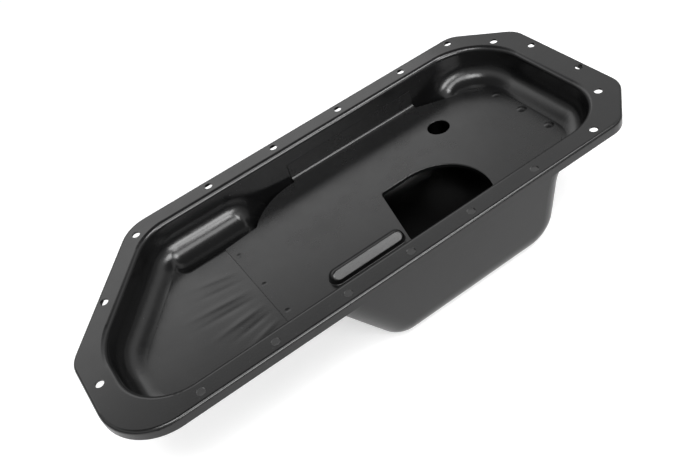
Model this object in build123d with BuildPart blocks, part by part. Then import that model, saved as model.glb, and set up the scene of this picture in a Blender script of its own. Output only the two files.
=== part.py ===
from build123d import *
import os
from math import cos, radians, sin, tan

# Engine oil pan, in millimetres. X runs along the pan, Y across it and Z is up. The origin is
# midway between the two middle bolt holes, on the sealing face of the flange, and the pan
# hangs below that face. Positions along the pan are measured from that origin.

# Sheet metal
sheet = 1.5
baffle_sheet = 1.0
wall_draft = 1.5

# Gasket flange, with its outer edge turned down all round
flange_right = 246.5
flange_left = -240.5
flange_width = 212.0
lip_height = 9.0
lip_back_height = 5.5
lip_bend = 2.6
fold_radius = 4.5
back_end_chamfer = 45.0
front_end_chamfer = 37.0
end_corner_radius = 22.0
nose_radius = 45.0
shoulder_length = 91.4
left_edge_length = 103.0
shoulder_radius = 34.0
shoulder_foot_radius = 24.0

# Side walls of the cavity, where they would meet the sealing face: first the flange outside them
side_face = 21.0
right_face = 27.0
left_face = 24.5
cavity_shoulder_length = 76.0
cavity_left_length = 79.4
cavity_back_end_radius = 53.0
cavity_front_end_radius = 46.0
cavity_nose_radius = 42.0
cavity_shoulder_radius = 40.0
cavity_foot_radius = 60.0
floor_radius = 18.0

# Shallow floor, and the sump with its two end walls
shallow_depth = 32.0
sump_depth = 104.0
sump_left_top = -61.0
sump_left_bottom = -15.0
sump_right_bottom = 151.0
sump_right_top = 168.0
sump_lip_radius = 20.0
sump_left_foot_radius = 26.0
sump_right_foot_radius = 32.0

# Trough that leads the oil along the back wall into the sump
trough_radius = 21.0
trough_depth = 3.5
trough_start = -123.0
trough_end = -17.0
trough_from_wall = 22.5
trough_lip_radius = 8.0

# Bolt holes, in two rows along the flange and following its outline at both ends
bolt_hole = 7.0
bolt_from_edge = 9.0
middle_bolt_shift = 5.3
back_row_x = [-72.7, 64.7, 136.4, 192.3]
front_row_x = [-174.6, -113.8, -51.4, 62.3, 125.3, 187.3]
# At the ends: place along the pan, and distance in from the back or front edge
back_end_bolts = [(221.2, 42.4), (237.8, 75.5)]
front_end_bolts = [(225.0, 41.5), (239.5, 78.5), (-229.4, 68.9)]
# On the shoulder: distance down its slope, and inward from it
shoulder_bolts = [(10.5, 11.7), (83.6, 7.1)]

# Baffle plate over the sump, measured along the pan and in from the cavity's back wall
baffle_left = -91.5
baffle_left_from_back = 35.5
baffle_notch_x = -58.5
baffle_notch_from_back = 32.5
baffle_sweep_x = -33.5
baffle_sweep_from_back = 13.0
baffle_tab_start = -3.5
baffle_tab_end = 133.5
baffle_tab_height = 17.0
baffle_bend = 3.0
baffle_end_gap = 1.5
baffle_front_gap = 2.0
baffle_tongue_start = -31.0
baffle_tongue_end = 141.0
baffle_front_corner = 30.0
baffle_back_corner = 22.0

# Marks raised in the baffle plate along its right edge, and spot welds pressed into its left edge
dimple_y = [33.0, -1.0, -36.0]
dimple_from_edge = 5.0
dimple_diameter = 9.0
dimple_height = 0.9
weld_y = [34.0, -11.0, -49.0]
weld_from_edge = 5.5
weld_diameter = 5.0
weld_depth = 0.3

# Openings and bead of the baffle plate, measured along the pan and in from the cavity's walls
pickup_x = 70.5
pickup_from_front = 45.0
pickup_radius = 45.0
pickup_left_back = 41.5
pickup_left_front = 26.0
pickup_edge_from_front = 22.5
pickup_corner_radius = 5.0
pickup_rim = 2.5
pickup_rim_bend = 0.9
drain_back_x = 129.3
drain_back_from_back = 47.3
drain_back_diameter = 20.0
drain_back_rollover = 0.6
bead_start = -39.0
bead_end = 18.0
bead_from_front = 35.0
bead_width = 14.5
bead_wall = 1.5
bead_face_slope = 38.0
bead_face_depth = 1.3
bead_face_bend = 2.0
bead_foot_radius = 1.0

# Drain plug in the back wall of the sump, with its welded boss and sealing washer
drain_x = 63.5
drain_height = 31.0
thread_diameter = 14.0
thread_clearance = 0.2
boss_diameter = 25.0
boss_length = 9.0
washer_diameter = 23.0
washer_thickness = 1.5
plug_flange_diameter = 23.0
plug_flange_thickness = 2.5
plug_hex = 19.0
plug_head = 8.0
plug_crown = 1.6
plug_end = 2.0
plug_chamfer = 1.0

# Back edge of the flange, and the walls of the cavity at the sealing face
flange_back = flange_width / 2
cavity_back = flange_back - side_face
cavity_right = flange_right - right_face
cavity_left = flange_left + left_face


def round_corners(outline, corners, radius):
    """Round the named corners of a sketch."""
    for corner in corners:
        fillet(outline.vertices().sort_by_distance(corner)[0], radius)


def flange_outline(inset=0.0):
    """Outer edge of the flange: chamfered right end, sloping shoulder and round nose at the left."""
    end_corners = [
        (flange_right, -flange_back + front_end_chamfer),
        (flange_right, flange_back - back_end_chamfer),
        (flange_right - back_end_chamfer, flange_back),
        (flange_right - front_end_chamfer, -flange_back),
    ]
    shoulder = (flange_left + shoulder_length, flange_back)
    shoulder_foot = (flange_left, left_edge_length - flange_back)
    nose = (flange_left, -flange_back)
    with BuildSketch() as outline:
        with BuildLine():
            Polyline(*end_corners[:3], shoulder, shoulder_foot, nose, end_corners[3], close=True)
        make_face()
        round_corners(outline, end_corners, end_corner_radius)
        round_corners(outline, [shoulder], shoulder_radius)
        round_corners(outline, [shoulder_foot], shoulder_foot_radius)
        round_corners(outline, [nose], nose_radius)
        if inset > 0:
            offset(amount=-inset)
    return outline.sketch


def cavity_outline(skin):
    """Plan of the side walls at the sealing face, moved outward by the thickness skin."""
    front_end = (cavity_right, -cavity_back)
    back_end = (cavity_right, cavity_back)
    shoulder = (cavity_left + cavity_shoulder_length, cavity_back)
    shoulder_foot = (cavity_left, cavity_left_length - cavity_back)
    nose = (cavity_left, -cavity_back)
    with BuildSketch() as outline:
        with BuildLine():
            Polyline(front_end, back_end, shoulder, shoulder_foot, nose, close=True)
        make_face()
        round_corners(outline, [front_end], cavity_front_end_radius)
        round_corners(outline, [back_end], cavity_back_end_radius)
        round_corners(outline, [shoulder], cavity_shoulder_radius)
        round_corners(outline, [shoulder_foot], cavity_foot_radius)
        round_corners(outline, [nose], cavity_nose_radius)
        if skin > 0:
            offset(amount=skin)
    return outline.sketch


def floor_section(skin):
    """Section along the pan above its floor line, moved outward by the thickness skin."""
    reach = flange_right - flange_left
    lip_corners = [(sump_left_top, -shallow_depth), (sump_right_top, -shallow_depth)]
    left_foot = (sump_left_bottom, -sump_depth)
    right_foot = (sump_right_bottom, -sump_depth)
    with BuildSketch(Plane.XZ) as section:
        with BuildLine():
            Polyline(
                (-reach, 0),
                (-reach, -shallow_depth),
                lip_corners[0],
                left_foot,
                right_foot,
                lip_corners[1],
                (reach, -shallow_depth),
                (reach, 0),
                close=True,
            )
        make_face()
        round_corners(section, lip_corners, sump_lip_radius)
        round_corners(section, [left_foot], sump_left_foot_radius)
        round_corners(section, [right_foot], sump_right_foot_radius)
        if skin > 0:
            offset(amount=skin)
    return section.sketch


def trough_form(skin):
    """Round-ended trough along the back wall, grown by the thickness skin."""
    axis_y = cavity_back - trough_from_wall
    axis_z = trough_radius - shallow_depth - trough_depth
    with BuildPart() as trough:
        with BuildSketch(Plane.YZ.offset(trough_start)):
            with Locations((axis_y, axis_z)):
                Circle(trough_radius + skin)
        extrude(amount=trough_end - trough_start)
        with Locations((trough_start, axis_y, axis_z)):
            Sphere(trough_radius + skin)
        split(bisect_by=Plane.XY, keep=Keep.BOTTOM)
    return trough.part


def floor_chain(form):
    """The closed run of edges where the side walls meet the floor."""
    walls = form.faces().filter_by(lambda face: face.bounding_box().max.Z > -fold_radius)
    walls = walls.filter_by(lambda face: abs(face.normal_at().Z) < 0.5)
    edges = walls.edges().filter_by(lambda edge: edge.bounding_box().max.Z < -shallow_depth / 2)
    return edges


def pan_form(skin):
    """The space inside the pan, or the same form grown by the sheet thickness."""
    with BuildPart() as form:
        with BuildSketch():
            add(cavity_outline(skin))
        extrude(amount=-(sump_depth + skin), taper=wall_draft)
        with BuildSketch(Plane.XZ):
            add(floor_section(skin))
        extrude(amount=flange_width, both=True, mode=Mode.INTERSECT)
        fillet(floor_chain(form), floor_radius + skin)
        add(trough_form(skin))
        trough_edges = form.edges(Select.LAST) - form.edges(Select.LAST).filter_by(Axis.Y)
        trough_lip = trough_edges.filter_by(lambda edge: edge.center().Y < cavity_back - trough_from_wall)
        fillet(trough_lip, trough_lip_radius - skin)
    return form.part


def wall_y(z):
    """Half the clear width of the cavity at the height z, between its drafted side walls."""
    return cavity_back + z * tan(radians(wall_draft))


def hole_places():
    """Centres of all bolt holes on the flange."""
    row = flange_back - bolt_from_edge
    middle_pair = [(-middle_bolt_shift, row), (middle_bolt_shift, -row)]
    back_row = [(x, row) for x in back_row_x]
    front_row = [(x, -row) for x in front_row_x]
    back_end = [(x, flange_back - inward) for x, inward in back_end_bolts]
    front_end = [(x, inward - flange_back) for x, inward in front_end_bolts]
    shoulder = Vector(flange_left + shoulder_length, flange_back)
    down_slope = (Vector(flange_left, left_edge_length - flange_back) - shoulder).normalized()
    inward_normal = down_slope.rotate(Axis.Z, 90)
    sloping = [shoulder + down_slope * along + inward_normal * inward for along, inward in shoulder_bolts]
    return middle_pair + back_row + front_row + back_end + front_end + sloping


# Faces of the baffle's flat plate, and where its tabs leave it
plate_bottom = -shallow_depth
plate_top = plate_bottom + baffle_sheet
tab_root = wall_y(-shallow_depth) - 2 * baffle_bend

# The outer face of the sump's back wall at the drain, looking outward along the drain's axis
drain_z = drain_height - sump_depth
drain_plane = Plane(
    origin=(drain_x, wall_y(drain_z) + sheet, drain_z),
    x_dir=(1, 0, 0),
    z_dir=(0, cos(radians(wall_draft)), -sin(radians(wall_draft))),
)

# Lower edge of the lip, lowest at the front
lip_edge_plane = Plane(
    origin=(0, -flange_back, -lip_height),
    x_dir=(1, 0, 0),
    z_dir=(0, lip_back_height - lip_height, flange_width),
)

with BuildPart() as pan_shell:
    # Flange with its turned-down lip
    with BuildSketch():
        add(flange_outline())
    extrude(amount=-lip_height)
    fillet(pan_shell.faces().sort_by(Axis.Z)[-1].edges(), lip_bend)
    with BuildSketch(Plane.XY.offset(-lip_height)):
        add(flange_outline(inset=sheet))
    extrude(amount=lip_height - sheet, mode=Mode.SUBTRACT)
    # The lip gets shorter towards the back
    split(bisect_by=lip_edge_plane, keep=Keep.TOP)
    # Drawn body below the flange
    add(pan_form(sheet))
    underside = pan_shell.faces().filter_by_position(Axis.Z, -sheet - 0.01, -sheet + 0.01)[0]
    lip_fillet = lip_bend - sheet
    fold_fillet = fold_radius - sheet
    fillet(underside.outer_wire().edges(), lip_fillet)
    underside = pan_shell.faces().filter_by_position(Axis.Z, -sheet - 0.01, -sheet + 0.01)[0]
    fillet(underside.inner_wires()[0].edges(), fold_fillet)
    add(pan_form(0.0), mode=Mode.SUBTRACT)
    sealing_face = pan_shell.faces().sort_by(Axis.Z)[-1]
    fillet(sealing_face.inner_wires()[0].edges(), fold_radius)
    # Bolt holes and the drain hole
    with Locations(*hole_places()):
        Hole(bolt_hole / 2)
    with BuildSketch(drain_plane):
        Circle(thread_diameter / 2 + thread_clearance)
    extrude(amount=2 * sheet, both=True, mode=Mode.SUBTRACT)
pan_shell.part.label = "pan_shell"


def tab_section(bottom):
    """Section of the baffle's back tab: a strip of the plate bent up to stand against the wall."""
    top = bottom + baffle_tab_height
    inner = baffle_sheet / cos(radians(wall_draft))
    outer_corner = (wall_y(bottom), bottom)
    inner_corner = (wall_y(bottom + baffle_sheet) - inner, bottom + baffle_sheet)
    with BuildSketch() as section:
        with BuildLine():
            Polyline(
                (tab_root, bottom),
                outer_corner,
                (wall_y(top), top),
                (wall_y(top) - inner, top),
                inner_corner,
                (tab_root, bottom + baffle_sheet),
                close=True,
            )
        make_face()
        round_corners(section, [inner_corner], baffle_bend)
        round_corners(section, [outer_corner], baffle_bend + baffle_sheet)
    return section.sketch


def pickup_outline(grow):
    """D-shaped opening for the oil pick-up: slanted left edge, straight back and front, round right."""
    back = pickup_from_front + pickup_radius - cavity_back
    front = pickup_edge_from_front - cavity_back
    front_x = pickup_x + (pickup_radius**2 - (pickup_from_front - pickup_edge_from_front) ** 2) ** 0.5
    corners = [(pickup_left_back, back), (pickup_left_front, front), (front_x, front)]
    with BuildSketch() as outline:
        with BuildLine():
            Polyline((pickup_x, back), *corners)
            RadiusArc(corners[2], (pickup_x, back), -pickup_radius)
        make_face()
        round_corners(outline, corners, pickup_corner_radius)
        if grow > 0:
            offset(amount=grow)
    return outline.sketch


def bead_form(skin):
    """Round-ended rib pressed up in the plate, with a flat face that slopes down to the front."""
    radius = bead_width / 2 - skin
    length = bead_end - bead_start
    start = Vector(bead_start, bead_from_front - cavity_back, plate_top + bead_wall)
    slope = radians(bead_face_slope)
    face = Plane(origin=start, x_dir=(1, 0, 0), z_dir=(0, -sin(slope), cos(slope)))
    face = face.offset(radius - bead_face_depth)
    with BuildPart() as bead:
        with BuildSketch(Plane.XY.offset(plate_bottom)):
            with Locations((start.X + length / 2, start.Y)):
                SlotCenterToCenter(length, 2 * radius)
        extrude(amount=baffle_sheet + bead_wall)
        with BuildSketch(Plane(origin=start, x_dir=(0, 1, 0), z_dir=(1, 0, 0))):
            Circle(radius)
        extrude(amount=length)
        with Locations(start, start + Vector(length, 0, 0)):
            Sphere(radius)
        split(bisect_by=Plane.XY.offset(plate_bottom), keep=Keep.TOP)
        split(bisect_by=face, keep=Keep.BOTTOM)
        fillet(bead.faces().sort_by(Axis(face.origin, face.z_dir))[-1].edges(), bead_face_bend - skin)
    return bead.part


def plate_top_edges(plate):
    """The newest edges that lie on the face of the baffle plate."""
    return plate.edges(Select.LAST).filter_by_position(Axis.Z, plate_top - 0.01, plate_top + 0.01)


def cap_form(skin, places, diameter, height):
    """Low round bumps on the face of the baffle plate, or their hollows a thickness skin below."""
    radius = ((diameter / 2) ** 2 + height**2) / (2 * height)
    with BuildPart() as caps:
        for x, y in places:
            with Locations((x, y, plate_top + height - radius)):
                Sphere(radius - skin)
        split(bisect_by=Plane.XY.offset(plate_top - skin), keep=Keep.TOP)
    return caps.part


with BuildPart() as baffle_plate:
    right_edge = cavity_right - shallow_depth * tan(radians(wall_draft)) - floor_radius - baffle_end_gap
    front_edge = floor_radius + baffle_front_gap - wall_y(plate_bottom)
    corner_back = cavity_back - (cavity_back_end_radius + floor_radius) / 2
    notch = (baffle_notch_x, cavity_back - baffle_notch_from_back)
    sweep = (baffle_sweep_x, cavity_back - baffle_sweep_from_back)
    # Flat plate, with a tongue that reaches towards the front wall over the sump
    with BuildSketch(Plane.XY.offset(plate_bottom)) as plate:
        with BuildLine():
            Polyline(
                (baffle_tab_start, tab_root),
                (baffle_tab_end, tab_root),
                (right_edge, corner_back),
                (right_edge, front_edge),
                (baffle_tongue_end, front_edge),
                (baffle_tongue_end, -tab_root),
                (baffle_tongue_start, -tab_root),
                (baffle_tongue_start, front_edge),
                (baffle_left, front_edge),
                (baffle_left, cavity_back - baffle_left_from_back),
                notch,
            )
            ThreePointArc(notch, sweep, (baffle_tab_start, tab_root))
        make_face()
        round_corners(plate, [(right_edge, front_edge)], baffle_front_corner)
        round_corners(plate, [(right_edge, corner_back)], baffle_back_corner)
    extrude(amount=baffle_sheet)
    # Tabs turned up against the back and front walls
    with BuildSketch(Plane.YZ.offset(baffle_tab_start)):
        add(tab_section(plate_bottom))
    extrude(amount=baffle_tab_end - baffle_tab_start)
    with BuildSketch(Plane.YZ.offset(baffle_tongue_start)):
        add(tab_section(plate_bottom))
        mirror(about=Plane.YZ, mode=Mode.REPLACE)
    extrude(amount=baffle_tongue_end - baffle_tongue_start)
    # Stiffening bead
    add(bead_form(0.0))
    fillet(plate_top_edges(baffle_plate), bead_foot_radius)
    add(bead_form(baffle_sheet), mode=Mode.SUBTRACT)
    # Pick-up opening with its rim turned down, and the round drain-back hole
    with BuildSketch(Plane.XY.offset(plate_top)):
        add(pickup_outline(baffle_sheet))
    extrude(amount=-baffle_sheet - pickup_rim)
    with BuildSketch(Plane.XY.offset(plate_top)):
        add(pickup_outline(0.0))
    extrude(amount=-baffle_sheet - pickup_rim, mode=Mode.SUBTRACT)
    fillet(plate_top_edges(baffle_plate), pickup_rim_bend)
    with Locations((drain_back_x, cavity_back - drain_back_from_back, plate_top)):
        Hole(drain_back_diameter / 2)
    fillet(plate_top_edges(baffle_plate), drain_back_rollover)
    # Raised marks and spot welds
    dimples = [(right_edge - dimple_from_edge, y) for y in dimple_y]
    add(cap_form(0.0, dimples, dimple_diameter, dimple_height))
    add(cap_form(baffle_sheet, dimples, dimple_diameter, dimple_height), mode=Mode.SUBTRACT)
    weld_radius = ((weld_diameter / 2) ** 2 + weld_depth**2) / (2 * weld_depth)
    for y in weld_y:
        with Locations((baffle_left + weld_from_edge, y, plate_top - weld_depth + weld_radius)):
            Sphere(weld_radius, mode=Mode.SUBTRACT)
baffle_plate.part.label = "baffle_plate"

with BuildPart() as drain_boss:
    with BuildSketch(drain_plane.offset(-sheet * cos(radians(wall_draft)))):
        Circle(boss_diameter / 2)
        Circle(thread_diameter / 2 + thread_clearance, mode=Mode.SUBTRACT)
    extrude(amount=-boss_length)
    chamfer(drain_boss.edges().filter_by(GeomType.CIRCLE).sort_by(Axis.Y)[0:2], plug_chamfer)
drain_boss.part.label = "drain_boss"

with BuildPart() as drain_washer:
    with BuildSketch(drain_plane):
        Circle(washer_diameter / 2)
        Circle(thread_diameter / 2 + thread_clearance, mode=Mode.SUBTRACT)
    extrude(amount=washer_thickness)
drain_washer.part.label = "drain_washer"

flange_plane = drain_plane.offset(washer_thickness)
head_plane = flange_plane.offset(plug_flange_thickness)

with BuildPart() as plug_hexagon:
    with BuildSketch(head_plane):
        Circle(plug_hex / 2 / cos(radians(30)))
    extrude(amount=plug_head)
    chamfer(plug_hexagon.faces().sort_by(Axis.Y)[-1].edges(), plug_crown)
    with BuildSketch(head_plane):
        RegularPolygon(plug_hex / 2, 6, major_radius=False)
    extrude(amount=plug_head, mode=Mode.INTERSECT)

with BuildPart() as drain_plug:
    with BuildSketch(flange_plane):
        Circle(plug_flange_diameter / 2)
    extrude(amount=plug_flange_thickness)
    add(plug_hexagon.part)
    with BuildSketch(flange_plane):
        Circle(thread_diameter / 2)
    extrude(amount=-washer_thickness - sheet - boss_length - plug_end)
    chamfer(drain_plug.edges().filter_by(GeomType.CIRCLE).sort_by(Axis.Y)[0], plug_chamfer)
drain_plug.part.label = "drain_plug"

os.makedirs("parts", exist_ok=True)
for piece in [pan_shell, baffle_plate, drain_boss, drain_washer, drain_plug]:
    export_step(piece.part, "parts/" + piece.part.label + ".step")
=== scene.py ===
import math

import bmesh
import bpy
from mathutils import Matrix, Vector


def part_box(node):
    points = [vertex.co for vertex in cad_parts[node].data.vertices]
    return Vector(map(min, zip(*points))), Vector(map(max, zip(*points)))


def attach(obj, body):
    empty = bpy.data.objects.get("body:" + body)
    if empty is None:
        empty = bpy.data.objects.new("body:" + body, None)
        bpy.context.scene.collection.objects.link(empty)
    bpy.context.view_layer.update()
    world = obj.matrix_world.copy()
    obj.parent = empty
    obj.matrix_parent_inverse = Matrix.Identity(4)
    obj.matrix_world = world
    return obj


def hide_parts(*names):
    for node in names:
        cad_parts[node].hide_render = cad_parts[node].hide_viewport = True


# The dressed engine oil pan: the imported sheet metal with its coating, the press wrinkles in its
# shallow floor and the weld of its drain boss, on a pale studio floor. Metres throughout, in the
# frame of the CAD: X runs along the pan, Y across it and Z is up, with the sealing face of the
# flange at z = 0.

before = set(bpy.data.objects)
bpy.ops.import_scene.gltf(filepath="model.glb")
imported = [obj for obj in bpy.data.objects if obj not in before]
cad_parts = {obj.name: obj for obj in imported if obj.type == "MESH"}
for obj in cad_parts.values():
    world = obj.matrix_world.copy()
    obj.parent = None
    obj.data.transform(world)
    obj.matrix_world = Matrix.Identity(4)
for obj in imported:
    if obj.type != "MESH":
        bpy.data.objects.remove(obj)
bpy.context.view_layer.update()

# Camera, fitted to the outline of the flange
PICTURE_WIDTH = 700
SENSOR_WIDTH = 36.0
FOCAL_PIXELS = 850.0
CAMERA_AZIMUTH = -20.867
CAMERA_ELEVATION = 42.657
CAMERA_ROLL = -18.38
CAMERA_DISTANCE = 0.6523
CAMERA_TARGET = Vector((-0.01645, -0.04649, 0.0))

# Places in the CAD
STAND_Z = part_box("pan_shell")[0].z
BAFFLE_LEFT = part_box("baffle_plate")[0].x
BOSS_LOW, BOSS_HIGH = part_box("drain_boss")
BOSS_RADIUS = (BOSS_HIGH.x - BOSS_LOW.x) / 2.0
SHALLOW_Z = -0.032

# Black coating: the two colours of its stains, the dust on it, and its least and most roughness.
# A range is the two values of a noise between which one turns into the other.
COAT_COLORS = ((0.004, 0.004, 0.00412), (0.0054, 0.00544, 0.0056))
STAIN_RANGE = (0.35, 0.7)
FLECK_COLOR = (0.16, 0.16, 0.165)
FLECK_SHARE = 0.35
FLECK_RANGE = (0.68, 0.8)
SHELL_GLOSS = (0.18, 0.25)
BAFFLE_GLOSS = (0.22, 0.30)
GLOSS_RANGE = (0.3, 0.72)
# Depths of the rolling marks, the orange peel and the fine grain
ROLLED_DEPTH = 0.00010
PEEL_DEPTH = 0.000018
GRAIN_DEPTH = 0.000008

# Bottom of the sump, made duller and painted darker as shade: the heights where it starts and is
# complete, and the same for how much a face looks up
SUMP_SHADE_HEIGHTS = (-0.070, -0.095)
SUMP_SHADE_FACING = (0.1, 0.5)
SUMP_DULL_ROUGHNESS = 0.42
# Painted shade: the darker colour given to the sump's bottom
SUMP_PAINTED_SHADE_COLOR = (0.0015, 0.0015, 0.0015)

# Plug and washer: the two colours that each varies between, its roughness and its marks' depth
ZINC_COLORS = ((0.50, 0.48, 0.43), (0.60, 0.585, 0.55))
ZINC_GLOSS = (0.28, 0.42)
SCUFF_DEPTH = 0.00002
ALUMINIUM_COLORS = ((0.66, 0.66, 0.67), (0.76, 0.76, 0.77))
ALUMINIUM_GLOSS = (0.32, 0.48)
MARK_DEPTH = 0.00001
METAL_RANGE = (0.3, 0.7)

# Weld round the drain boss: the lean of the wall behind it, its size and its ripples
WALL_DRAFT = math.radians(1.5)
WELD_SIZE = 0.0016
WELD_DROPS = 26
DROP_RIPPLE = 0.12
WELD_WAVES = 5
WAVE_RIPPLE = 0.06
WELD_STEPS = 208
WELD_SIDES = 14

# The part of the shallow floor that has wrinkles, left of the baffle, and the grid that it is cut to
WRINKLED_LOW = (-0.172, -0.066)
WRINKLED_HIGH = (BAFFLE_LEFT - 0.001, 0.038)
WRINKLE_GRID = 0.0016
# How near to its height the floor is flat, how near to a cut a point counts as on it, and a
# rectangle that takes in the whole pan
FLAT_WITHIN = 1e-6
CUT_WITHIN = 1e-7
EVERYWHERE = ((-1.0, -1.0), (1.0, 1.0))
KEPT_NORMAL = "kept_normal"
# Above 1, a wrinkle is highest nearer to its end than to its start
WRINKLE_SKEW = 1.5
# Wrinkles: start, end, half width and height in metres; a height below 0 is a valley
WRINKLES = [
    ((-0.150, 0.034), (-0.092, 0.018), 0.0060, 0.00016),
    ((-0.156, 0.018), (-0.092, 0.006), 0.0056, -0.00012),
    ((-0.172, 0.002), (-0.092, -0.008), 0.0060, 0.00019),
    ((-0.168, -0.012), (-0.092, -0.018), 0.0054, -0.00014),
    ((-0.160, -0.034), (-0.092, -0.029), 0.0056, 0.00018),
    ((-0.146, -0.047), (-0.092, -0.039), 0.0050, -0.00013),
    ((-0.138, -0.062), (-0.092, -0.050), 0.0054, 0.00015),
]

# Studio floor: its colour, and how it glows for the camera and in reflections
PAPER_COLOR = (0.66, 0.66, 0.66, 1.0)
FLOOR_GLOW = 0.58
FLOOR_MIRRORED = 0.25
FLOOR_HALF = 4.0
# Brightness of the surroundings: as light on the pan, and in reflections low down, in the band that
# the flat faces mirror, and overhead. The changes lie between these sines of the elevation.
WORLD_FILL = 0.20
LOW_LIGHT = 0.30
WALL_LIGHT = 1.0
CEILING_LIGHT = 0.15
BAND_START = 0.30
BAND_FULL = 0.55
CEILING_START = 0.70
CEILING_END = 0.84
# Lamps: name, azimuth from the front, elevation, width and height in metres, brightness
SOFTBOX_DISTANCE = 1.5
SOFTBOXES = [
    ("key_left", -42.0, 62.0, 0.50, 0.42, 11.0),
    ("key_right", 52.0, 54.0, 0.50, 0.42, 10.0),
    ("key_middle", 5.0, 60.0, 1.20, 0.46, 5.0),
    ("front_low", 8.0, 30.0, 0.90, 0.46, 10.0),
    ("backdrop", 182.0, 37.0, 1.90, 0.44, 0.9),
]


# ---------------------------------------------------------------------------------------------
# Material building blocks


def new_material(name):
    """A node material, its tree and its principled shader."""
    material = bpy.data.materials.new(name)
    material.use_nodes = True
    tree = material.node_tree
    return material, tree, tree.nodes["Principled BSDF"]


def noise(tree, scale, detail=2.0, roughness=0.5, stretch=None):
    """Noise over the piece in object coordinates; scale is in features per metre."""
    place = tree.nodes.new("ShaderNodeTexCoord")
    texture = tree.nodes.new("ShaderNodeTexNoise")
    texture.inputs["Scale"].default_value = scale
    texture.inputs["Detail"].default_value = detail
    texture.inputs["Roughness"].default_value = roughness
    if stretch is None:
        tree.links.new(place.outputs["Object"], texture.inputs["Vector"])
    else:
        mapping = tree.nodes.new("ShaderNodeMapping")
        mapping.inputs["Scale"].default_value = stretch
        tree.links.new(place.outputs["Object"], mapping.inputs["Vector"])
        tree.links.new(mapping.outputs["Vector"], texture.inputs["Vector"])
    return texture.outputs["Fac"]


def remap(tree, value, low, high, new_low, new_high):
    """The value's range from low to high stretched over new_low to new_high, and clamped."""
    node = tree.nodes.new("ShaderNodeMapRange")
    node.inputs["From Min"].default_value = low
    node.inputs["From Max"].default_value = high
    node.inputs["To Min"].default_value = new_low
    node.inputs["To Max"].default_value = new_high
    tree.links.new(value, node.inputs["Value"])
    return node.outputs["Result"]


def calculate(tree, operation, first, second):
    """The result of a math node on two outputs."""
    node = tree.nodes.new("ShaderNodeMath")
    node.operation = operation
    tree.links.new(first, node.inputs[0])
    tree.links.new(second, node.inputs[1])
    return node.outputs["Value"]


def mix_colors(tree, factor, first, second):
    """First colour where factor is 0, second where it is 1."""
    node = tree.nodes.new("ShaderNodeMix")
    node.data_type = "RGBA"
    tree.links.new(factor, node.inputs["Factor"])
    for socket, color in ((node.inputs["A"], first), (node.inputs["B"], second)):
        if isinstance(color, tuple):
            socket.default_value = (*color, 1.0)
        else:
            tree.links.new(color, socket)
    return node.outputs["Result"]


def pick(tree, factor, first, second):
    """First value where factor is 0, second where it is 1; each is a number or an output."""
    node = tree.nodes.new("ShaderNodeMix")
    tree.links.new(factor, node.inputs["Factor"])
    for socket, value in ((node.inputs["A"], first), (node.inputs["B"], second)):
        if isinstance(value, float):
            socket.default_value = value
        else:
            tree.links.new(value, socket)
    return node.outputs["Result"]


def two_tone(tree, texture, limits, colors):
    """The first colour where the noise is below its limits, the second where it is above them."""
    return mix_colors(tree, remap(tree, texture, *limits, 0.0, 1.0), *colors)


def add_bump(tree, shader, layers):
    """Stack bump layers of (height output, depth in metres) on the shader's normal."""
    normal = None
    for height, depth in layers:
        bump = tree.nodes.new("ShaderNodeBump")
        bump.inputs["Strength"].default_value = 1.0
        bump.inputs["Distance"].default_value = depth
        tree.links.new(height, bump.inputs["Height"])
        if normal is not None:
            tree.links.new(normal, bump.inputs["Normal"])
        normal = bump.outputs["Normal"]
    tree.links.new(normal, shader.inputs["Normal"])


# ---------------------------------------------------------------------------------------------
# Materials


def coated_steel(name, gloss):
    """Black electro-dip coating on pressed steel: faint stains, dust, orange peel, and a dull sump
    bottom painted darker as shade.
    """
    material, tree, shader = new_material(name)
    stains = noise(tree, scale=14.0, detail=4.0, roughness=0.6)
    dust = noise(tree, scale=420.0, detail=3.0, roughness=0.7)
    patches = noise(tree, scale=26.0, detail=5.0, roughness=0.65)
    stained = two_tone(tree, stains, STAIN_RANGE, COAT_COLORS)
    flecks = remap(tree, dust, *FLECK_RANGE, 0.0, FLECK_SHARE)
    dusty = mix_colors(tree, flecks, stained, FLECK_COLOR)
    rubbed = remap(tree, patches, *GLOSS_RANGE, *gloss)
    sump_shade = dull_shaded_sump(tree)
    # Painted shade: the sump's bottom gets a darker colour, and a set roughness
    tree.links.new(mix_colors(tree, sump_shade, dusty, SUMP_PAINTED_SHADE_COLOR), shader.inputs["Base Color"])
    tree.links.new(pick(tree, sump_shade, rubbed, SUMP_DULL_ROUGHNESS), shader.inputs["Roughness"])
    shader.inputs["Specular IOR Level"].default_value = 0.5
    shader.inputs["IOR"].default_value = 1.5
    rolled = noise(tree, scale=60.0, detail=2.0, stretch=(1.0, 0.35, 1.0))
    peel = noise(tree, scale=620.0, detail=2.0, roughness=0.5)
    grain = noise(tree, scale=2600.0, detail=2.0, roughness=0.6)
    add_bump(tree, shader, [(rolled, ROLLED_DEPTH), (peel, PEEL_DEPTH), (grain, GRAIN_DEPTH)])
    return material


def dull_shaded_sump(tree):
    """1 on the faces that look up from the bottom of the sump, which are dulled and painted darker
    as shade.
    """
    place = tree.nodes.new("ShaderNodeTexCoord")
    height = tree.nodes.new("ShaderNodeSeparateXYZ")
    tree.links.new(place.outputs["Object"], height.inputs["Vector"])
    facing = tree.nodes.new("ShaderNodeSeparateXYZ")
    tree.links.new(place.outputs["Normal"], facing.inputs["Vector"])
    deep = remap(tree, height.outputs["Z"], *SUMP_SHADE_HEIGHTS, 0.0, 1.0)
    upward = remap(tree, facing.outputs["Z"], *SUMP_SHADE_FACING, 0.0, 1.0)
    return calculate(tree, "MULTIPLY", deep, upward)


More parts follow.
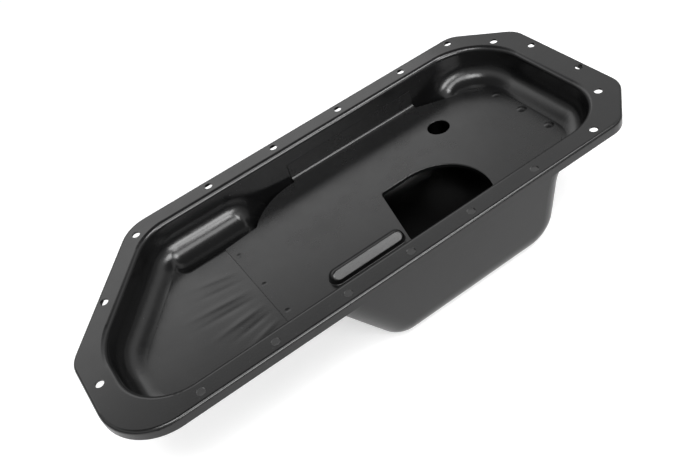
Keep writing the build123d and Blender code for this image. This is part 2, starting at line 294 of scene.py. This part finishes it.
def bare_metal(name, clouds, colors, gloss):
    """Bare or plated metal whose colour and gloss vary with one noise, returned as well."""
    material, tree, shader = new_material(name)
    texture = noise(tree, **clouds)
    tree.links.new(two_tone(tree, texture, METAL_RANGE, colors), shader.inputs["Base Color"])
    tree.links.new(remap(tree, texture, *METAL_RANGE, *gloss), shader.inputs["Roughness"])
    shader.inputs["Metallic"].default_value = 1.0
    return material, tree, shader, texture


def plated_steel(name):
    """Zinc plating on the drain plug, slightly warm and cloudy, with fine scuffs."""
    clouds = {"scale": 160.0, "detail": 4.0, "roughness": 0.6}
    material, tree, shader, _ = bare_metal(name, clouds, ZINC_COLORS, ZINC_GLOSS)
    scuffs = noise(tree, scale=900.0, detail=3.0, roughness=0.6)
    add_bump(tree, shader, [(scuffs, SCUFF_DEPTH)])
    return material


def washer_aluminium(name):
    """Stamped aluminium with fine marks."""
    clouds = {"scale": 1500.0, "detail": 3.0, "roughness": 0.7}
    material, tree, shader, marks = bare_metal(name, clouds, ALUMINIUM_COLORS, ALUMINIUM_GLOSS)
    add_bump(tree, shader, [(marks, MARK_DEPTH)])
    return material


# ---------------------------------------------------------------------------------------------
# Pieces


def add_sheet_piece(name, data):
    """A new piece of the pan's coated sheet, made of a mesh."""
    piece = bpy.data.objects.new(name, data)
    bpy.context.scene.collection.objects.link(piece)
    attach(piece, "root")
    return piece


def wrinkle_height(x, y):
    """Height of the wrinkles above the flat floor at a point."""
    total = 0.0
    for (x0, y0), (x1, y1), half_width, height in WRINKLES:
        length = math.hypot(x1 - x0, y1 - y0)
        along = ((x - x0) * (x1 - x0) + (y - y0) * (y1 - y0)) / length**2
        across = ((y - y0) * (x1 - x0) - (x - x0) * (y1 - y0)) / length
        if 0.0 < along < 1.0:
            fade = math.sin(math.pi * along**WRINKLE_SKEW) ** 2
            total += height * fade * math.exp(-((2.0 * across / half_width) ** 2))
    return total


def wrinkle_normal(x, y):
    """Direction that the wrinkled floor faces at a point."""
    step = WRINKLE_GRID / 4.0
    slope_x = (wrinkle_height(x + step, y) - wrinkle_height(x - step, y)) / (2.0 * step)
    slope_y = (wrinkle_height(x, y + step) - wrinkle_height(x, y - step)) / (2.0 * step)
    return Vector((-slope_x, -slope_y, 1.0)).normalized()


def flat_faces(mesh, low, high):
    """Faces of the flat floor whose middle lies between two corners of a rectangle."""
    faces = []
    for face in mesh.faces:
        middle = face.calc_center_median()
        flat = all(abs(vert.co.z - SHALLOW_Z) < FLAT_WITHIN for vert in face.verts)
        if flat and low[0] < middle.x < high[0] and low[1] < middle.y < high[1]:
            faces.append(face)
    return faces


def slice_faces(mesh, faces, axis, place):
    """Cut the given faces by the plane across an axis at a place."""
    normal = Vector((1.0, 0.0, 0.0)) if axis == 0 else Vector((0.0, 1.0, 0.0))
    parts = list(faces)
    for face in faces:
        parts.extend(face.edges)
        parts.extend(face.verts)
    once = list(dict.fromkeys(parts))
    bmesh.ops.bisect_plane(
        mesh, geom=once, plane_co=normal * place, plane_no=normal, dist=CUT_WITHIN
    )


def cut_grid(mesh):
    """Cut the floor along the edges of the wrinkled rectangle, and the rectangle into a grid."""
    for axis in (0, 1):
        for place in (WRINKLED_LOW[axis], WRINKLED_HIGH[axis]):
            slice_faces(mesh, flat_faces(mesh, *EVERYWHERE), axis, place)
    for axis in (0, 1):
        place = WRINKLED_LOW[axis] + WRINKLE_GRID
        while place < WRINKLED_HIGH[axis]:
            slice_faces(mesh, flat_faces(mesh, WRINKLED_LOW, WRINKLED_HIGH), axis, place)
            place += WRINKLE_GRID


def press_wrinkles(mesh):
    """Move the grid's points to the height of the wrinkles, and set the normals to suit."""
    layer = mesh.loops.layers.float_vector[KEPT_NORMAL]
    faces = flat_faces(mesh, WRINKLED_LOW, WRINKLED_HIGH)
    for face in faces:
        for loop in face.loops:
            loop[layer] = wrinkle_normal(loop.vert.co.x, loop.vert.co.y)
    for vert in {vert for face in faces for vert in face.verts}:
        vert.co.z = SHALLOW_Z + wrinkle_height(vert.co.x, vert.co.y)


def wrinkled_shell(shell):
    """A copy of the pan's shell with wrinkles raised in its shallow floor.

    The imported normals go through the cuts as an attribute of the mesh's corners.
    """
    data = shell.data.copy()
    kept = data.attributes.new(KEPT_NORMAL, "FLOAT_VECTOR", "CORNER")
    for corner, normal in zip(kept.data, data.corner_normals):
        corner.vector = normal.vector
    mesh = bmesh.new()
    mesh.from_mesh(data)
    cut_grid(mesh)
    press_wrinkles(mesh)
    mesh.to_mesh(data)
    mesh.free()
    normals = [corner.vector.normalized() for corner in data.attributes[KEPT_NORMAL].data]
    data.normals_split_custom_set(normals)
    data.attributes.remove(data.attributes[KEPT_NORMAL])
    pressed = add_sheet_piece("pressed_shell", data)
    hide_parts("pan_shell")
    return pressed


def weld_point(centre, lean, turn, around):
    """A point of the weld; turn goes round the boss, and around goes round the weld itself."""
    drops = DROP_RIPPLE * math.sin(WELD_DROPS * turn)
    waves = WAVE_RIPPLE * math.sin(WELD_WAVES * turn)
    size = WELD_SIZE * (1.0 + drops + waves)
    away = lean @ Vector((math.cos(turn), 0.0, math.sin(turn)))
    inward = lean @ Vector((0.0, -1.0, 0.0))
    return centre + away * (BOSS_RADIUS + size * math.cos(around)) + inward * size * math.sin(around)


def boss_weld():
    """The rippled fillet weld that holds the drain boss to the inside of the sump's back wall."""
    middle = (BOSS_LOW + BOSS_HIGH) / 2.0
    centre = Vector((middle.x, BOSS_HIGH.y, middle.z))
    lean = Matrix.Rotation(-WALL_DRAFT, 3, "X")
    mesh = bmesh.new()
    rings = []
    for step in range(WELD_STEPS):
        turn = math.tau * step / WELD_STEPS
        sides = [math.tau * side / WELD_SIDES for side in range(WELD_SIDES)]
        rings.append([mesh.verts.new(weld_point(centre, lean, turn, side)) for side in sides])
    for here, ahead in zip(rings, rings[1:] + rings[:1]):
        for side in range(WELD_SIDES):
            beside = (side + 1) % WELD_SIDES
            face = mesh.faces.new((here[side], here[beside], ahead[beside], ahead[side]))
            face.smooth = True
    bmesh.ops.recalc_face_normals(mesh, faces=mesh.faces)
    data = bpy.data.meshes.new("boss_weld")
    mesh.to_mesh(data)
    mesh.free()
    return add_sheet_piece("boss_weld", data)


# ---------------------------------------------------------------------------------------------
# Studio


def floor_material():
    """Pale floor: white in the picture, with the shadow, and dimmer in reflections."""
    material, tree, shader = new_material("studio_floor")
    shader.inputs["Base Color"].default_value = PAPER_COLOR
    shader.inputs["Roughness"].default_value = 0.9
    shader.inputs["Specular IOR Level"].default_value = 0.1
    shader.inputs["Emission Color"].default_value = (1.0, 1.0, 1.0, 1.0)
    path = tree.nodes.new("ShaderNodeLightPath")
    glossy, through = path.outputs["Is Glossy Ray"], path.outputs["Is Transmission Ray"]
    mirrored = pick(tree, calculate(tree, "MAXIMUM", glossy, through), 0.0, FLOOR_MIRRORED)
    glow = pick(tree, path.outputs["Is Camera Ray"], mirrored, FLOOR_GLOW)
    tree.links.new(glow, shader.inputs["Emission Strength"])
    return material


def build_floor():
    """A plain plane under the sump's bottom."""
    mesh = bpy.data.meshes.new("floor")
    near, far = -FLOOR_HALF, FLOOR_HALF
    corners = [(near, near), (far, near), (far, far), (near, far)]
    mesh.from_pydata([(x, y, STAND_Z) for x, y in corners], [], [(0, 1, 2, 3)])
    floor = bpy.data.objects.new("floor", mesh)
    bpy.context.scene.collection.objects.link(floor)
    mesh.materials.append(floor_material())


def build_world():
    """Soft white surroundings, white where they are seen and darker overhead in reflections."""
    world = bpy.data.worlds.new("studio")
    bpy.context.scene.world = world
    world.use_nodes = True
    tree = world.node_tree
    background = tree.nodes["Background"]
    background.inputs["Color"].default_value = (1.0, 1.0, 1.0, 1.0)
    place = tree.nodes.new("ShaderNodeTexCoord")
    split = tree.nodes.new("ShaderNodeSeparateXYZ")
    tree.links.new(place.outputs["Generated"], split.inputs["Vector"])
    low = remap(tree, split.outputs["Z"], BAND_START, BAND_FULL, LOW_LIGHT, WALL_LIGHT)
    high = remap(tree, split.outputs["Z"], CEILING_START, CEILING_END, WALL_LIGHT, CEILING_LIGHT)
    reflected = calculate(tree, "MINIMUM", low, high)
    path = tree.nodes.new("ShaderNodeLightPath")
    unseen = pick(tree, path.outputs["Is Glossy Ray"], WORLD_FILL, reflected)
    total = pick(tree, path.outputs["Is Camera Ray"], unseen, 1.0)
    tree.links.new(total, background.inputs["Strength"])


def direction(azimuth, elevation):
    """Unit vector at an azimuth to the right of the front and an elevation, in degrees."""
    az = math.radians(azimuth)
    el = math.radians(elevation)
    return Vector((math.sin(az) * math.cos(el), -math.cos(az) * math.cos(el), math.sin(el)))


def add_softbox(name, azimuth, elevation, width, height, radiance):
    """A rectangular lamp aimed at the pan, whose surface is as bright as radiance says."""
    lamp = bpy.data.lights.new(name, "AREA")
    lamp.shape = "RECTANGLE"
    lamp.size = width
    lamp.size_y = height
    lamp.energy = radiance * math.pi * width * height
    box = bpy.data.objects.new(name, lamp)
    away = direction(azimuth, elevation)
    box.location = away * SOFTBOX_DISTANCE
    box.rotation_euler = away.to_track_quat("Z", "Y").to_euler()
    box.visible_camera = False
    bpy.context.scene.collection.objects.link(box)


def build_camera():
    """The camera of the picture: it stands high in front, to the left, and is rolled."""
    roll = math.radians(CAMERA_ROLL)
    back = direction(CAMERA_AZIMUTH, CAMERA_ELEVATION)
    right = Vector((0.0, 0.0, 1.0)).cross(back).normalized()
    up = back.cross(right)
    right_rolled = right * math.cos(roll) + up * math.sin(roll)
    up_rolled = up * math.cos(roll) - right * math.sin(roll)
    data = bpy.data.cameras.new("camera")
    data.sensor_fit = "HORIZONTAL"
    data.sensor_width = SENSOR_WIDTH
    data.lens = FOCAL_PIXELS / PICTURE_WIDTH * SENSOR_WIDTH
    data.clip_start = 0.01
    camera = bpy.data.objects.new("camera", data)
    turn = Matrix((right_rolled, up_rolled, back)).transposed().to_4x4()
    camera.matrix_world = Matrix.Translation(CAMERA_TARGET + back * CAMERA_DISTANCE) @ turn
    bpy.context.scene.collection.objects.link(camera)
    bpy.context.scene.camera = camera


# ---------------------------------------------------------------------------------------------
# Build

build_camera()
build_floor()
build_world()
for softbox in SOFTBOXES:
    add_softbox(*softbox)

coat = coated_steel("black_coat", SHELL_GLOSS)
baffle_coat = coated_steel("black_coat_baffle", BAFFLE_GLOSS)
finishes = {
    "pan_shell": coat,
    "baffle_plate": baffle_coat,
    "drain_boss": coat,
    "drain_washer": washer_aluminium("washer_metal"),
    "drain_plug": plated_steel("plug_zinc"),
}
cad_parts["pan_shell"].data.materials.clear()
for piece in (wrinkled_shell(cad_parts["pan_shell"]), boss_weld()):
    piece.data.materials.append(coat)
for node, finish in finishes.items():
    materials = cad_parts[node].data.materials
    materials.clear()
    materials.append(finish)

bpy.context.scene.view_settings.view_transform = "Standard"
